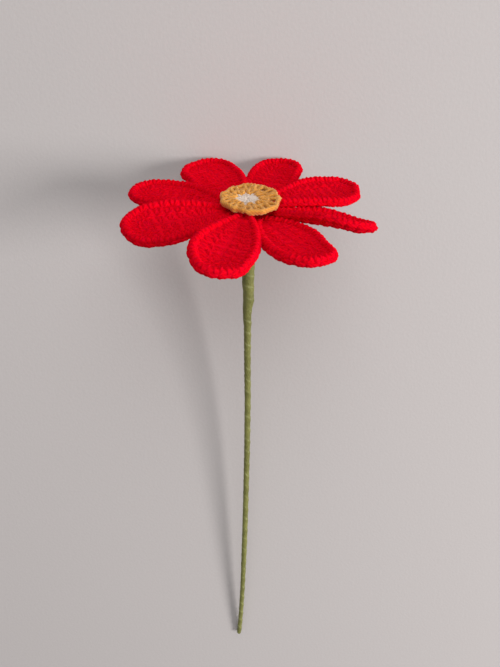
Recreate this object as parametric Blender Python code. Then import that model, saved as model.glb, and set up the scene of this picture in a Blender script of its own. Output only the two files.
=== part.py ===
"""Crocheted gerbera daisy on a taped wire stem, lying on the foot of its stem and two petal tips.

Metres, +Z up. The stem runs along Y with the flower at its +Y end. The flower is built in its
own frame in millimetres, whose origin is where the petal plane meets the flower's axis and whose
third axis points out of the flower's face, and is then laid down on the ground.
"""

import math
from typing import NamedTuple

import bmesh
import bpy
from mathutils import Vector

MM = 0.001

# How the flower lies: height of its origin, nod of its axis, and the origin's place in plan
HEAD_HEIGHT = 46.2
HEAD_NOD = 25.0
HEAD_PLACE = (0.883, 132.295)

# Petals, mm
PETAL_ROOT_RADIUS = 7.0
ROOT_SHARE = 0.22
RISE_POWER = 1.75
TIP_POWER = 2.5
RIM_MIDDLE = 2.1
RIM_FULL_DEPTH = 4.6
EDGE_HEIGHT = 0.3
FACE_PROFILE = ((0.35, 1.2), (RIM_MIDDLE, 2.0), (4.2, 0.95))
BACK_PROFILE = ((0.35, -0.8), (RIM_MIDDLE, -1.5), (4.2, -1.35))
SPINE_START = 3.2
SPINE_END_SHARE = 0.42
OUTLINE_STEPS = (
    0.0, 0.1, 0.2, 0.3, 0.4, 0.49, 0.57, 0.65, 0.72, 0.78, 0.83, 0.875, 0.91, 0.94, 0.965, 0.985,
)

# Wire in each petal's rim, mm
PETAL_WIRE_RADIUS = 0.2
CHANNEL_RADIUS = 0.55
CHANNEL_OVERRUN = 1.5
WIRE_SIDES = 6

# Amber ring and white centre, mm
RING_LEVEL = 5.3
RING_HALF_HEIGHT = 1.3
RING_OUTER = 12.4
RING_LOBE = 0.5
RING_HOLE = 5.4
RING_HOLE_PLACE = (-1.2, 0.3)
RING_LOBES = 9
RING_SECTION = 8
RING_STEPS_PER_LOBE = 5
CENTRE_PROFILE = ((0.0, 4.3), (4.2, 4.3), (4.9, 5.0), (4.4, 5.9), (2.4, 6.5), (0.0, 6.7))
CENTRE_SIDES = 20

# Calyx under the petals, mm
SEPALS = 5
SEPAL_FIRST = 39.0
SEPAL_REACH = 24.0
SEPAL_NOTCH = 11.0
CALYX_HOLE = 3.0
CALYX_HALF_THICKNESS = 0.75
CALYX_PROFILE = ((0.0, -15.5), (0.18, -11.8), (0.45, -8.6), (0.72, -7.6), (1.0, -7.1))
CALYX_STEPS_PER_SEPAL = 10

# Stem, mm, measured down from the flower's origin
STEM_WIRE_RADIUS = 0.9
STEM_WIRE_TOP = 1.5
STEM_STRAIGHT = 16.0
STEM_TOP_PULL = 70.0
STEM_FOOT_PULL = 90.0
STEM_FOOT = (-7.9, -287.0, -44.66)
STEM_SWAY = (-4.0, 0.6)
STEM_BOW = 0.4
STEM_STEPS = 30
STEM_SIDES = 12
BINDING_START = 8.0
BINDING_END = 48.0
BINDING_STEPS = 12
BINDING_INNER = 1.8
BINDING_OUTER = 2.15
TAPE_START = 13.5
TAPE_THICK_END = 52.0
TAPE_THIN_START = 74.0
TAPE_THICK_RADIUS = 2.65
TAPE_THIN_RADIUS = 1.82
TAPE_FOOT_RADIUS = 1.55
TAPE_THICKNESS = (0.25, 0.5)
TAIL_DEPTHS = (BINDING_START, 14.0, 20.0, 30.0, 39.0, 47.0)
TAIL_RADIUS = 1.33

RED = (0.62, 0.004, 0.016)
AMBER = (0.72, 0.32, 0.06)
WHITE = (0.80, 0.74, 0.72)
LEAF_GREEN = (0.16, 0.19, 0.035)
TAPE_GREEN = (0.19, 0.20, 0.045)
STEEL = (0.55, 0.56, 0.57)


class Petal(NamedTuple):
    """One petal's place and bend: mm and degrees, in the flower's frame."""

    azimuth: float
    lift: float
    roll: float
    curl: float
    width: float
    reach: float
    cup: float
    side: float
    widest: float
    root_roll: float
    root_height: float
    trim: tuple = (0.0, 0.0)
    raised: tuple = (0.0, 0.0)

    @property
    def length(self):
        """Length from root to tip."""
        return self.reach - PETAL_ROOT_RADIUS

    def half_width(self, along):
        """Half the flat width at a share of the length."""
        rise = 1 - (1 - min(along / self.widest, 1.0)) ** RISE_POWER
        past = min(max((along - self.widest) / (1 - self.widest), 0.0), 1.0)
        share = ROOT_SHARE + (1 - ROOT_SHARE) * rise
        return self.width / 2 * share * math.sqrt(max(1 - past**TIP_POWER, 0.0))

    def place(self, x, y, raised, spread):
        """Point of the bent petal.

        x is the distance from the root along the flat petal, y across it, raised the height off
        its middle surface, and spread how far out from the middle line, 0 to 1, for the cupping.
        """
        azimuth = math.radians(self.azimuth)
        outward = Vector((math.cos(azimuth), math.sin(azimuth), 0))
        around = Vector((-math.sin(azimuth), math.cos(azimuth), 0))
        up = Vector((0, 0, 1))
        lift = math.radians(self.lift)
        bend = math.radians(self.curl) / self.length
        if abs(bend) < 1e-6:
            bend = 1e-6
        slope = lift + bend * x
        out = (math.sin(slope) - math.sin(lift)) / bend
        rise = (math.cos(lift) - math.cos(slope)) / bend
        share = x / self.length
        tilt = math.radians(
            self.root_roll + (self.roll - self.root_roll) * min(max(share * 1.6, 0.0), 1.0)
        )
        normal = up * math.cos(slope) - outward * math.sin(slope)
        across = around * math.cos(tilt) + normal * math.sin(tilt)
        face = normal * math.cos(tilt) - around * math.sin(tilt)
        cupped = self.cup * self.width / 2 * spread**2 * min(max(share * 2, 0.0), 1.0)
        sideways = self.side * share * share
        middle = outward * (PETAL_ROOT_RADIUS + out) + up * (self.root_height + rise)
        return middle + around * sideways + across * y + face * (raised + cupped)

    def outline(self):
        """Flat outline from the middle of the root round the tip and back.

        Each place on it is an edge point, the spine point that it faces, and how far the edge is
        curled up there.
        """
        side = []
        for along in OUTLINE_STEPS:
            side.append((along * self.length, self.half_width(along)))
        edge = [*side, (self.length, 0.0), *[(x, -y) for x, y in reversed(side)]]
        walked = [0.0]
        for (x, y), (next_x, next_y) in zip(edge, edge[1:]):
            walked.append(walked[-1] + math.hypot(next_x - x, next_y - y))
        spine_end = self.length - self.width * SPINE_END_SHARE
        places = [((0.0, 0.0), (SPINE_START, 0.0), 0.0)]
        for (x, y), distance in zip(edge, walked):
            share = distance / walked[-1]
            spine_x = min(max(x, SPINE_START), spine_end)
            full = math.hypot(x - spine_x, y)
            grown = 1 + between(self.trim, share) / full
            point = (spine_x + (x - spine_x) * grown, y * grown)
            places.append((point, (spine_x, 0.0), between(self.raised, share)))
        return places

    def inward(self, place, distance):
        """Flat point at a distance in from the edge towards the spine, its spread and its curl."""
        (x, y), (spine_x, spine_y), curled = place
        full = math.hypot(x - spine_x, y - spine_y)
        scale = min(1.0, full / RIM_FULL_DEPTH)
        spread = max(1 - distance * scale / full, 0.02)
        flat_x = spine_x + (x - spine_x) * spread
        flat_y = spine_y + (y - spine_y) * spread
        return flat_x, flat_y, spread, curled * spread**2


def between(values, share):
    """Smooth curve through evenly spaced values, at a share of its length."""
    known = (values[0], *values, values[-1])
    spot = min(max(share, 0.0), 1.0) * (len(values) - 1)
    first = min(int(spot), len(values) - 2)
    t = spot - first
    a, b, c, d = known[first : first + 4]
    bend = (2 * a - 5 * b + 4 * c - d) * t**2 + (3 * b - a - 3 * c + d) * t**3
    return b + ((c - a) * t + bend) / 2


PETALS = {
    1: Petal(
        254.8, 2.9, -6.6, -0.4, 26.4, 54.4, 0.14, 0.6, 0.61, 0.6, 1.7,
        trim=(
            0.0, 0.0, 0.0, -0.2, -0.3, -0.4, -0.6, -0.5, 0.8, 0.7, 1.1,
            1.1, 0.3, 0.4, 0.7, 0.6, 0.4, 0.3, 0.2, 0.0, 0.0,
        ),
    ),
    2: Petal(
        202.3, 3.7, -8.0, -4.9, 25.4, 54.7, 0.12, 0.2, 0.62, -11.6, 0.9,
        trim=(
            0.0, 0.0, 0.0, 0.0, -0.3, 0.2, 0.9, 0.8, 1.3, 0.8, 0.6,
            1.1, 0.6, 0.8, 0.7, 0.4, 0.1, 0.0, -0.1, 0.0, 0.0,
        ),
    ),
    3: Petal(
        165.5, 1.6, 2.1, 4.7, 24.2, 54.4, 0.08, -0.3, 0.61, -18.0, -0.6,
        trim=(
            0.0, 0.0, 0.0, 0.0, 0.0, -0.3, -0.8, -0.6, 0.7, 1.3, 0.7,
            0.4, 0.9, 1.2, 2.0, 2.2, 1.8, 1.2, 0.8, 0.4, 0.0,
        ),
    ),
    4: Petal(
        117.1, 2.5, 1.4, -2.6, 26.2, 56.6, 0.07, 0.0, 0.57, -10.1, -1.4,
        trim=(
            0.0, 0.0, 0.0, 0.0, 0.1, 0.6, 1.4, 2.4, 0.6, -1.6, -1.7,
            -0.9, 0.1, 0.7, 0.6, 0.4, 0.2, -0.1, 0.0, 0.0, 0.0,
        ),
    ),
    5: Petal(
        71.5, 2.2, 0.2, 3.6, 25.8, 52.7, 0.09, 0.2, 0.6, -3.2, -3.9,
        trim=(
            0.0, 0.0, 0.0, 0.0, 0.0, 0.2, 0.5, 0.7, 0.9, 0.4, 0.7,
            1.9, 1.7, -0.5, -1.4, -1.2, -0.6, -0.3, 0.0, 0.0, 0.0,
        ),
    ),
    6: Petal(
        24.8, 0.2, -0.8, -9.4, 25.1, 54.5, 0.09, 0.1, 0.64, -3.4, 1.9,
        trim=(
            0.0, 0.0, 0.3, 0.6, 0.8, 0.9, 0.6, 0.1, 1.3, 1.2, 1.0,
            -0.5, 0.1, 0.5, 1.4, 0.2, -0.8, -1.2, -1.2, -0.8, -0.4,
        ),
    ),
    7: Petal(
        346.1, -1.9, -28.3, -0.2, 22.9, 53.3, 0.23, -2.5, 0.59, -20.0, 0.8,
        trim=(
            -0.4, -0.6, -0.6, -0.3, 0.0, 0.0, 0.0, 0.0, 0.3, 0.3, 0.5,
            0.3, 0.0, 0.0, 0.0, -0.2, -0.8, -1.2, -1.2, -0.8, -0.3,
        ),
        raised=(
            -0.2, -0.1, 0.5, 1.2, 1.7, 1.9, 1.5, 0.6, 0.0, 0.0, -0.4,
            -0.8, -1.2, -1.2, -0.8, -0.4, 0.0, 0.0, 0.0, 0.0, 0.0,
        ),
    ),
    8: Petal(
        302.7, 2.2, -7.7, 5.3, 25.1, 50.8, 0.02, -1.2, 0.51, 4.6, -0.8,
        trim=(
            -0.2, 0.0, 0.6, 1.1, 1.4, 1.6, 1.0, 0.8, 2.0, 1.1, -0.2,
            0.2, 0.3, 0.9, 0.9, 0.3, -0.5, -0.7, -0.5, -0.2, -0.2,
        ),
    ),
}


def clear_scene():
    """Removes everything the scene starts with."""
    for obj in list(bpy.data.objects):
        bpy.data.objects.remove(obj, do_unlink=True)


def material(name, colour, roughness, metallic=0.0):
    """A plain material in the photographed colour."""
    made = bpy.data.materials.new(name)
    made.use_nodes = True
    shader = made.node_tree.nodes["Principled BSDF"]
    shader.inputs["Base Color"].default_value = (*colour, 1)
    shader.inputs["Roughness"].default_value = roughness
    shader.inputs["Metallic"].default_value = metallic
    return made


def laid(point):
    """The world point, in metres, of a point of the flower's frame."""
    nod = math.radians(HEAD_NOD)
    axis = Vector((0, math.cos(nod), math.sin(nod)))
    right = Vector((1, 0, 0))
    away = Vector((0, math.sin(nod), -math.cos(nod)))
    place = right * point[0] + away * point[1] + axis * point[2]
    return (place + Vector((*HEAD_PLACE, HEAD_HEIGHT))) * MM


def make_object(name, points, faces, finish, to_world=laid):
    """One closed mesh object from points in mm and faces of point numbers."""
    mesh = bpy.data.meshes.new(name)
    shape = bmesh.new()
    corners = [shape.verts.new(to_world(point)) for point in points]
    for face in faces:
        ring = list(dict.fromkeys(face))
        if len(ring) > 2:
            shape.faces.new([corners[i] for i in ring])
    bmesh.ops.recalc_face_normals(shape, faces=shape.faces)
    if shape.calc_volume(signed=True) < 0:
        bmesh.ops.reverse_faces(shape, faces=shape.faces)
    shape.to_mesh(mesh)
    shape.free()
    mesh.materials.append(finish)
    mesh.shade_smooth()
    obj = bpy.data.objects.new(name, mesh)
    bpy.context.scene.collection.objects.link(obj)
    return obj


def strips(first, second):
    """Faces between two closed rings of point numbers."""
    count = len(first)
    faces = []
    for i in range(count):
        j = (i + 1) % count
        faces.append((first[i], first[j], second[j], second[i]))
    return faces


def frames(path):
    """A side and a second direction at each point of a path, without twist."""
    sides = []
    previous = None
    for i, _ in enumerate(path):
        before = path[max(i - 1, 0)]
        after = path[min(i + 1, len(path) - 1)]
        along = (after - before).normalized()
        if previous is None:
            start = Vector((1, 0, 0)) if abs(along.x) < 0.9 else Vector((0, 1, 0))
            previous = start
        side = (previous - along * previous.dot(along)).normalized()
        previous = side
        sides.append((side, along.cross(side)))
    return sides


def swept(path, radii, sides, inner=None):
    """Points and faces of a rod along a path, or of a pipe where inner radii are given."""
    points = []
    outer_rings = []
    inner_rings = []
    turned = frames(path)
    for wall, rings in ((radii, outer_rings), (inner, inner_rings)):
        if wall is None:
            continue
        for centre, radius, (side, other) in zip(path, wall, turned):
            ring = []
            for i in range(sides):
                angle = 2 * math.pi * i / sides
                ring.append(len(points))
                points.append(centre + (side * math.cos(angle) + other * math.sin(angle)) * radius)
            rings.append(ring)
    faces = []
    for first, second in zip(outer_rings, outer_rings[1:]):
        faces += strips(first, second)
    if inner is None:
        faces.append(tuple(outer_rings[0]))
        faces.append(tuple(outer_rings[-1]))
        return points, faces
    for first, second in zip(inner_rings, inner_rings[1:]):
        faces += strips(second, first)
    faces += strips(inner_rings[0], outer_rings[0])
    faces += strips(outer_rings[-1], inner_rings[-1])
    return points, faces


def petal_mesh(petal):
    """Points and faces of the petal: rings in from its edge on both faces, closed on its spine."""
    places = petal.outline()
    points = []
    edge = []
    for (x, y), _, curled in places:
        edge.append(len(points))
        points.append(petal.place(x, y, EDGE_HEIGHT + curled, 1))
    faces = []
    for profile in (FACE_PROFILE, BACK_PROFILE):
        outer = edge
        for distance, height in profile:
            ring = []
            for place in places:
                x, y, spread, curled = petal.inward(place, distance)
                ring.append(len(points))
                points.append(petal.place(x, y, height + curled, spread))
            faces += strips(outer, ring)
            outer = ring
        spine = {}
        ring = []
        for _, (x, y), _ in places:
            key = round(x, 4)
            if key not in spine:
                spine[key] = len(points)
                points.append(petal.place(x, y, profile[-1][1], 0))
            ring.append(spine[key])
        faces += strips(outer, ring)
    return points, faces


def rim_path(petal):
    """The middle of the petal's rim from one root corner round the tip to the other."""
    path = []
    for place in petal.outline()[1:]:
        x, y, spread, curled = petal.inward(place, RIM_MIDDLE)
        path.append((x, y, EDGE_HEIGHT + curled, spread))
    return path


def cut_channel(obj, petal):
    """Cuts the wire's channel along the rim, open at both ends of the root."""
    flat = rim_path(petal)
    first, last = flat[0], flat[-1]
    flat = [(-CHANNEL_OVERRUN, *first[1:]), *flat, (-CHANNEL_OVERRUN, *last[1:])]
    path = [petal.place(*spot) for spot in flat]
    points, faces = swept(path, [CHANNEL_RADIUS] * len(path), WIRE_SIDES)
    cutter = make_object(f"{obj.name}_channel", points, faces, None)
    cutter.hide_render = True
    cutter.display_type = "WIRE"
    hole = obj.modifiers.new("channel", "BOOLEAN")
    hole.operation = "DIFFERENCE"
    hole.solver = "EXACT"
    hole.object = cutter


def stem_point(depth):
    """Point of the stem's middle line in the world's directions, mm from the flower's origin."""
    nod = math.radians(HEAD_NOD)
    down = Vector((0, -math.cos(nod), -math.sin(nod)))
    if depth <= STEM_STRAIGHT:
        return down * depth
    top = down * STEM_STRAIGHT
    foot = Vector(STEM_FOOT)
    chord = (foot - top).normalized()
    first = top + down * STEM_TOP_PULL
    first.x = STEM_SWAY[0]
    second = foot - chord * STEM_FOOT_PULL
    second.x = STEM_SWAY[1]
    t = (depth - STEM_STRAIGHT) / (foot - top).length
    t = min(t, 1.0)
    point = (
        top * (1 - t) ** 3
        + first * (3 * t * (1 - t) ** 2)
        + second * (3 * t * t * (1 - t))
        + foot * t**3
    )
    point.x += STEM_BOW * math.sin(2 * math.pi * t) * (1 - t)
    return point


def stem_length():
    """Depth of the stem's foot on stem_point's scale."""
    return STEM_STRAIGHT + (Vector(STEM_FOOT) - stem_point(STEM_STRAIGHT)).length


def from_head(point):
    """World point, in metres, of a point given from the flower's origin in the world's directions."""
    return (Vector(point) + Vector((*HEAD_PLACE, HEAD_HEIGHT))) * MM


def head_directions(point):
    """A point of the flower's frame as an offset from its origin in the world's directions."""
    return laid(point) / MM - Vector((*HEAD_PLACE, HEAD_HEIGHT))


def stem_depths(start, end, steps):
    """Depths from start to end, closer together near the flower."""
    return [start + (end - start) * (i / steps) ** 1.35 for i in range(steps + 1)]


def build_petals(red, steel):
    """The petals, each with its wire loop in a channel along its rim."""
    for number, petal in PETALS.items():
        points, faces = petal_mesh(petal)
        obj = make_object(f"petal_{number}", points, faces, red)
        cut_channel(obj, petal)
        build_petal_wire(number, petal, steel)


def build_petal_wire(number, petal, steel):
    """The wire round the petal's rim, whose second end runs down beside the stem's wire."""
    path = [head_directions(petal.place(*spot)) for spot in rim_path(petal)]
    last = rim_path(petal)[-1]
    path.append(head_directions(petal.place(-CHANNEL_OVERRUN, *last[1:])))
    azimuth = math.radians(petal.azimuth - 10)
    around = Vector((math.cos(azimuth), math.sin(azimuth), 0))
    for radius, height in ((3.6, -3.4), (2.0, -6.2)):
        level = height + 0.35 * petal.root_height * (1 if radius > 3 else 0)
        path.append(head_directions(around * radius + Vector((0, 0, level))))
    beside = head_directions(around * TAIL_RADIUS)
    for depth in TAIL_DEPTHS:
        path.append(stem_point(depth) + beside)
    points, faces = swept(path, [PETAL_WIRE_RADIUS] * len(path), WIRE_SIDES)
    make_object(f"petal_wire_{number}", points, faces, steel, from_head)


def build_ring(amber):
    """The amber ring with its scalloped outer edge."""
    steps = RING_LOBES * RING_STEPS_PER_LOBE
    points = []
    rings = []
    for i in range(steps):
        angle = 2 * math.pi * i / steps
        wave = abs(math.cos(angle * RING_LOBES / 2))
        outer = RING_OUTER - RING_LOBE + 2 * RING_LOBE * wave
        outward = Vector((math.cos(angle), math.sin(angle), 0))
        inside = Vector((*RING_HOLE_PLACE, 0)) + outward * RING_HOLE
        outside = outward * outer
        ring = []
        for j in range(RING_SECTION):
            turn = 2 * math.pi * (j + 0.5) / RING_SECTION
            across = math.copysign(abs(math.cos(turn)) ** 0.6, math.cos(turn))
            level = Vector((0, 0, RING_LEVEL + RING_HALF_HEIGHT * math.sin(turn)))
            ring.append(len(points))
            points.append(inside.lerp(outside, (1 + across) / 2) + level)
        rings.append(ring)
    faces = []
    for i in range(steps):
        faces += strips(rings[i], rings[(i + 1) % steps])
    make_object("amber_ring", points, faces, amber)


def build_centre(white):
    """The white middle, a shallow button inside the ring."""
    points = []
    rings = []
    place_x, place_y = RING_HOLE_PLACE
    for radius, height in CENTRE_PROFILE:
        if radius == 0:
            rings.append([len(points)] * CENTRE_SIDES)
            points.append((place_x, place_y, height))
            continue
        ring = []
        for i in range(CENTRE_SIDES):
            angle = 2 * math.pi * i / CENTRE_SIDES
            x = place_x + radius * math.cos(angle)
            y = place_y + radius * math.sin(angle)
            ring.append(len(points))
            points.append((x, y, height))
        rings.append(ring)
    faces = []
    for first, second in zip(rings, rings[1:]):
        faces += strips(first, second)
    make_object("white_centre", points, faces, white)


def build_calyx(green):
    """The crocheted calyx: a cup round the stem that opens into pointed sepals."""
    steps = SEPALS * CALYX_STEPS_PER_SEPAL
    points = []
    upper = []
    lower = []
    for share, height in CALYX_PROFILE:
        for rings, face_side in ((upper, 1), (lower, -1)):
            ring = []
            for i in range(steps):
                angle = 2 * math.pi * i / steps
                beside = abs((i % CALYX_STEPS_PER_SEPAL) / CALYX_STEPS_PER_SEPAL - 0.5) * 2
                edge = SEPAL_NOTCH + (SEPAL_REACH - SEPAL_NOTCH) * beside**1.6
                turn = angle + math.radians(SEPAL_FIRST)
                radius = CALYX_HOLE + (edge - CALYX_HOLE) * share
                level = height + CALYX_HALF_THICKNESS * face_side
                ring.append(len(points))
                points.append((radius * math.cos(turn), radius * math.sin(turn), level))
            rings.append(ring)
    faces = []
    for first, second in zip(upper, upper[1:]):
        faces += strips(first, second)
    for first, second in zip(lower, lower[1:]):
        faces += strips(second, first)
    faces += strips(lower[0], upper[0])
    faces += strips(upper[-1], lower[-1])
    make_object("calyx", points, faces, green)


def tape_radii(depth):
    """Inner and outer radius of the tape at a depth down the stem."""
    share = (depth - TAPE_THICK_END) / (TAPE_THIN_START - TAPE_THICK_END)
    share = min(max(share, 0.0), 1.0)
    share = share * share * (3 - 2 * share)
    down = max(depth - TAPE_THIN_START, 0.0) / (stem_length() - TAPE_THIN_START)
    thin = TAPE_THIN_RADIUS + (TAPE_FOOT_RADIUS - TAPE_THIN_RADIUS) * down
    outer = TAPE_THICK_RADIUS + (thin - TAPE_THICK_RADIUS) * share
    wall = TAPE_THICKNESS[0] + (TAPE_THICKNESS[1] - TAPE_THICKNESS[0]) * share
    return outer - wall, outer


def build_stem(steel, thread, tape):
    """The steel wire, the thread that binds the petals' wires to it, and the tape over both."""
    foot = stem_length()
    depths = [-STEM_WIRE_TOP, *stem_depths(TAPE_START, foot, STEM_STEPS)]
    path = [stem_point(depth) for depth in depths]
    points, faces = swept(path, [STEM_WIRE_RADIUS] * len(path), STEM_SIDES)
    make_object("stem_wire", points, faces, steel, from_head)

    reach = BINDING_END - BINDING_START
    depths = [BINDING_START + reach * i / BINDING_STEPS for i in range(BINDING_STEPS + 1)]
    path = [stem_point(depth) for depth in depths]
    outer = [BINDING_OUTER] * len(path)
    inner = [BINDING_INNER] * len(path)
    points, faces = swept(path, outer, STEM_SIDES, inner)
    make_object("binding_thread", points, faces, thread, from_head)

    depths = stem_depths(TAPE_START, foot, STEM_STEPS)
    path = [stem_point(depth) for depth in depths]
    inner = [tape_radii(depth)[0] for depth in depths]
    outer = [tape_radii(depth)[1] for depth in depths]
    points, faces = swept(path, outer, STEM_SIDES, inner)
    make_object("stem_tape", points, faces, tape, from_head)


def main():
    """Builds every piece, laid down on the ground."""
    clear_scene()
    red = material("red_yarn", RED, 0.9)
    amber = material("amber_yarn", AMBER, 0.9)
    white = material("white_yarn", WHITE, 0.9)
    leaf = material("green_yarn", LEAF_GREEN, 0.9)
    thread = material("red_thread", RED, 0.9)
    tape = material("floral_tape", TAPE_GREEN, 0.7)
    steel = material("steel_wire", STEEL, 0.35, 1.0)
    build_petals(red, steel)
    build_ring(amber)
    build_centre(white)
    build_calyx(leaf)
    build_stem(steel, thread, tape)


main()
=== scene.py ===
"""Crocheted gerbera daisy on a taped stem: its yarn, tape, light and camera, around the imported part.

The flower is worked in its own frame, in millimetres: the origin is where the petal plane meets
the flower's axis, and the third axis points out of its face. Head.to_world lays it on the ground.
"""

import logging
import math
from collections.abc import Callable, Iterator, Sequence
from dataclasses import dataclass, field
from enum import Enum

import bmesh
import bpy
import numpy as np
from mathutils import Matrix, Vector


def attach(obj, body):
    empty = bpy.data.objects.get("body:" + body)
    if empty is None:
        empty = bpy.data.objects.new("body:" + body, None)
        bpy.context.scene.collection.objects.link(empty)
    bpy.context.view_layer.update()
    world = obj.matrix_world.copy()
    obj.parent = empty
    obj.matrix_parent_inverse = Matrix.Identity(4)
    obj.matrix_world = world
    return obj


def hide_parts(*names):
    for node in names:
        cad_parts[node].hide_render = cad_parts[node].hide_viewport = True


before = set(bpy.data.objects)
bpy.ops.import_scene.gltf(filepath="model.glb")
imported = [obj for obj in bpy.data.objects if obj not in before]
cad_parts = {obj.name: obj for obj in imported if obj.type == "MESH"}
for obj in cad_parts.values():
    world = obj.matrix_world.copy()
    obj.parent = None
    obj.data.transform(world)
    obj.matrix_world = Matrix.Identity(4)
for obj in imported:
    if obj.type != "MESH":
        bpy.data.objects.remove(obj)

MM = 0.001
BODY = "root"
SEED = 11

log = logging.getLogger("gerbera")

Place = Callable[[float, float, float, float], Vector]
Path = list[Vector]


# Node trees


class Value:
    """A node's output socket that can be used in Python arithmetic."""

    def __init__(self, graph: "Graph", socket: bpy.types.NodeSocket) -> None:
        """Keeps the socket and the graph that it belongs to."""
        self.graph = graph
        self.socket = socket

    def __add__(self, other: "Value | float") -> "Value":
        """This plus other."""
        return self.graph.maths("ADD", self, other)

    def __sub__(self, other: "Value | float") -> "Value":
        """This minus other."""
        return self.graph.maths("SUBTRACT", self, other)

    def __rsub__(self, other: float) -> "Value":
        """A number minus this."""
        return self.graph.maths("SUBTRACT", other, self)

    def __mul__(self, other: "Value | float") -> "Value":
        """This times other."""
        return self.graph.maths("MULTIPLY", self, other)

    def __truediv__(self, other: "Value | float") -> "Value":
        """This divided by other."""
        return self.graph.maths("DIVIDE", self, other)

    def __mod__(self, other: "Value | float") -> "Value":
        """Remainder, always from zero up to other."""
        return self.graph.maths("FLOORED_MODULO", self, other)

    def __pow__(self, other: "Value | float") -> "Value":
        """This to the power other."""
        return self.graph.maths("POWER", self, other)

    __radd__ = __add__
    __rmul__ = __mul__

    def clamped(self, low: float, high: float) -> "Value":
        """This, mapped from low..high to 0..1 and held there."""
        made = self.graph.node("ShaderNodeMapRange", {"clamp": True}, {0: self, 1: low, 2: high})
        return Value(self.graph, made.outputs[0])


class Graph:
    """Adds nodes to one node tree, for shaders and for geometry."""

    def __init__(self, tree: bpy.types.NodeTree) -> None:
        """Keeps the tree."""
        self.tree = tree

    def feed(self, socket: bpy.types.NodeSocket, value: object) -> None:
        """Links a socket or a Value to an input, or sets a plain value on it.

        Args:
            socket: The input.
            value: What it gets.
        """
        if isinstance(value, Value):
            value = value.socket
        if isinstance(value, bpy.types.NodeSocket):
            self.tree.links.new(value, socket)
        else:
            socket.default_value = value

    def node(
        self,
        kind: str,
        settings: dict[str, object] | None = None,
        sockets: dict[str | int, object] | None = None,
    ) -> bpy.types.Node:
        """Adds a node, with its settings first and then its sockets.

        Args:
            kind: The node's type.
            settings: Its properties by name.
            sockets: Its inputs, by name or number, each with a value or what links to it.

        Returns:
            The node.
        """
        made = self.tree.nodes.new(kind)
        for name, setting in (settings or {}).items():
            setattr(made, name, setting)
        for key, value in (sockets or {}).items():
            self.feed(made.inputs[key], value)
        return made

    def maths(self, operation: str, *terms: "Value | float") -> Value:
        """A Math node on these terms.

        Args:
            operation: Blender's name for the operation.
            terms: Its inputs in order.

        Returns:
            The result.
        """
        made = self.node("ShaderNodeMath", {"operation": operation}, dict(enumerate(terms)))
        return Value(self, made.outputs[0])

    def value(self, kind: str, output: str | int, **others: dict) -> Value:
        """One output of a new node as a Value.

        Args:
            kind: The node's type.
            output: The output's name or number.
            others: settings and sockets, as for node.

        Returns:
            The output.
        """
        return Value(self, self.node(kind, **others).outputs[output])


class Shader(Graph):
    """A material's node tree round one Principled BSDF."""

    def __init__(self, name: str) -> None:
        """Makes the material with an empty Principled BSDF.

        Args:
            name: The material's name.
        """
        self.material = bpy.data.materials.new(name)
        self.material.use_nodes = True
        super().__init__(self.material.node_tree)
        self.surface = self.tree.nodes["Principled BSDF"]
        self.spot = self.node("ShaderNodeTexCoord").outputs["Object"]

    def noise(self, size_mm: float, detail: float = 2.0, roughness: float = 0.5) -> Value:
        """Noise over the object.

        Args:
            size_mm: The size of its patches.
            detail: Blender's detail.
            roughness: Blender's roughness.

        Returns:
            The noise, about 0.5.
        """
        sockets = {"Vector": self.spot, "Scale": 1 / (size_mm * MM), "Detail": detail, "Roughness": roughness}
        return self.value("ShaderNodeTexNoise", 0, sockets=sockets)

    def blend(self, share: Value, first: object, second: object) -> bpy.types.NodeSocket:
        """Two colours mixed.

        Args:
            share: How much of the second.
            first: A colour or a colour socket.
            second: A colour or a colour socket.

        Returns:
            The mixed colour.
        """
        colours = {6: opaque(first), 7: opaque(second), 0: share}
        made = self.node("ShaderNodeMix", {"data_type": "RGBA"}, colours)
        return made.outputs[2]

    def shade(self, colour: object, shadow: Value) -> bpy.types.NodeSocket:
        """A colour multiplied by a grey value.

        Args:
            colour: The colour or colour socket.
            shadow: The grey value, 1 for no change.

        Returns:
            The shaded colour.
        """
        grey = self.node("ShaderNodeCombineColor", {}, {0: shadow, 1: shadow, 2: shadow})
        settings = {"data_type": "RGBA", "blend_type": "MULTIPLY"}
        made = self.node("ShaderNodeMix", settings, {0: 1.0, 6: opaque(colour), 7: grey.outputs[0]})
        return made.outputs[2]

    def bump(self, height: Value, depth_mm: float) -> None:
        """Feeds the surface's normal from a height.

        Args:
            height: The height, 0 to 1.
            depth_mm: What a height of 1 stands for.
        """
        sockets = {"Strength": 1.0, "Distance": depth_mm * MM, "Height": height}
        made = self.node("ShaderNodeBump", {}, sockets)
        self.feed(self.surface.inputs["Normal"], made.outputs[0])

    def dress(self, **inputs: object) -> bpy.types.Material:
        """Sets the surface's inputs by name, with _ for a space.

        Args:
            inputs: The values or sockets.

        Returns:
            The finished material.
        """
        for name, value in inputs.items():
            self.feed(self.surface.inputs[name.replace("_", " ")], value)
        return self.material


def opaque(colour: object) -> object:
    """A three-part colour with its fourth part, and anything else as it is."""
    if isinstance(colour, tuple) and len(colour) == 3:
        return (*colour, 1.0)
    return colour


# Finishes


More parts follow.
